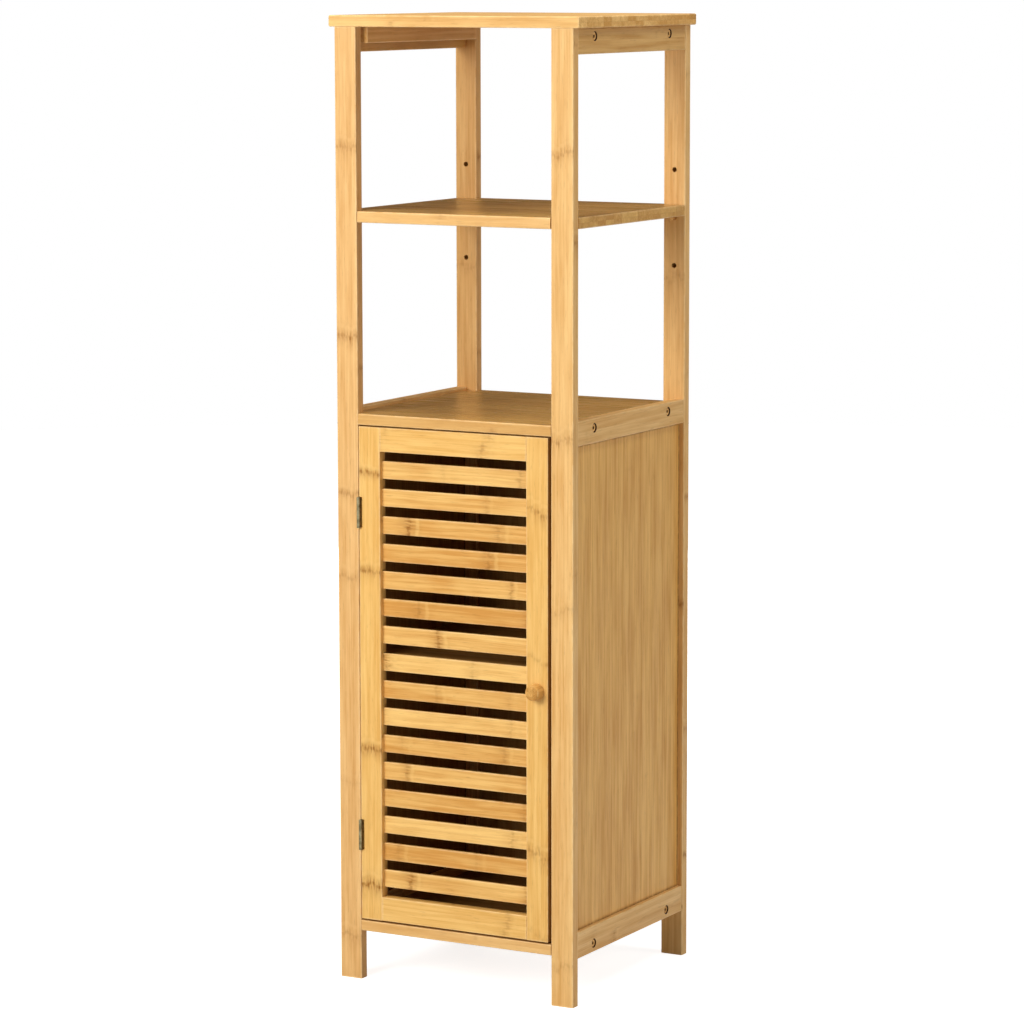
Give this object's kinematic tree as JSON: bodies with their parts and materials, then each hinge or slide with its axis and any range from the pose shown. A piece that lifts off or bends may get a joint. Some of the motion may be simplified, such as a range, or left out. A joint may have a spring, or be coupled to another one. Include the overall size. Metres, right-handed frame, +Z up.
{
  "type": "bathroom cabinet",
  "caption": "Tall free-standing bamboo bathroom cabinet with an open shelf above a closed part behind a slatted hinged door.",
  "frame": {"origin": "on the floor, under the middle of the whole object's box, knob included", "axes": "+Z up along the posts, +X to the right seen from the front, -Y towards the front with the door"},
  "size_m": [0.346, 0.327, 1.2],
  "materials": {
    "bamboo_frame": "clear lacquered laminated bamboo",
    "bamboo_board": "clear lacquered laminated bamboo, semi-gloss",
    "bamboo_panel": "clear lacquered bamboo strips",
    "bamboo_door": "clear lacquered laminated bamboo",
    "bamboo_slat": "clear lacquered bamboo strip",
    "bamboo_knob": "turned and lacquered bamboo",
    "dowel_beech": "plain beech",
    "bronzed_steel": "bronzed steel",
    "nickel_plate": "dull nickel plated steel",
    "zinc_steel": "zinc plated steel",
    "catch_plastic": "brown moulded plastic",
    "magnet_ferrite": "dark ferrite magnet"
  },
  "bodies": {
    "carcass": {"post_front_left": "bamboo_frame", "post_front_right": "bamboo_frame", "post_rear_left": "bamboo_frame", "post_rear_right": "bamboo_frame", "top_rail_left": "bamboo_frame", "top_rail_right": "bamboo_frame", "mid_rail_left": "bamboo_frame", "mid_rail_right": "bamboo_frame", "base_rail_left": "bamboo_frame", "base_rail_right": "bamboo_frame", "side_panel_left": "bamboo_panel", "side_panel_right": "bamboo_panel", "back_panel": "bamboo_panel", "rail_dowels": "dowel_beech", "top_panel": "bamboo_board", "top_cleat_left": "bamboo_frame", "top_cleat_right": "bamboo_frame", "cleat_screws": "zinc_steel", "cabinet_top": "bamboo_board", "bottom_panel": "bamboo_board", "open_shelf_pins": "bronzed_steel", "inner_shelf_pins": "bronzed_steel", "frame_bolts": "bronzed_steel", "insert_nuts": "bronzed_steel", "hinge_post_leaf_upper": "nickel_plate", "hinge_post_leaf_lower": "nickel_plate", "hinge_pins": "nickel_plate", "catch_housing": "catch_plastic", "catch_magnet": "magnet_ferrite", "carcass_screws": "zinc_steel"},
    "door": {"door_stile_left": "bamboo_door", "door_stile_right": "bamboo_door", "door_rail_top": "bamboo_door", "door_rail_bottom": "bamboo_door", "door_dowels": "dowel_beech", "door_slat_01": "bamboo_slat", "door_slat_02": "bamboo_slat", "door_slat_03": "bamboo_slat", "door_slat_04": "bamboo_slat", "door_slat_05": "bamboo_slat", "door_slat_06": "bamboo_slat", "door_slat_07": "bamboo_slat", "door_slat_08": "bamboo_slat", "door_slat_09": "bamboo_slat", "door_slat_10": "bamboo_slat", "door_slat_11": "bamboo_slat", "door_slat_12": "bamboo_slat", "door_slat_13": "bamboo_slat", "door_slat_14": "bamboo_slat", "door_slat_15": "bamboo_slat", "door_slat_16": "bamboo_slat", "knob": "bamboo_knob", "knob_screw": "zinc_steel", "hinge_door_leaf_upper": "nickel_plate", "hinge_door_leaf_lower": "nickel_plate", "strike_plate": "zinc_steel", "door_screws": "zinc_steel"},
    "open_shelf": {"open_shelf": "bamboo_board"},
    "inner_shelf": {"inner_shelf": "bamboo_board"}
  },
  "joints": [
    {"name": "door_hinge", "type": "hinge", "parent": "carcass", "child": "door", "pos_m": [-0.1338, -0.1508, 0.388], "axis": [0, 0, -1], "range_deg": [0, 170]},
    {"name": "open_shelf_lift", "type": "slide", "parent": "carcass", "child": "open_shelf", "axis": [0, 0, 1], "range_m": [0, 0.06]},
    {"name": "inner_shelf_lift", "type": "slide", "parent": "carcass", "child": "inner_shelf", "axis": [0, 0, 1], "range_m": [0, 0.06]}
  ]
}
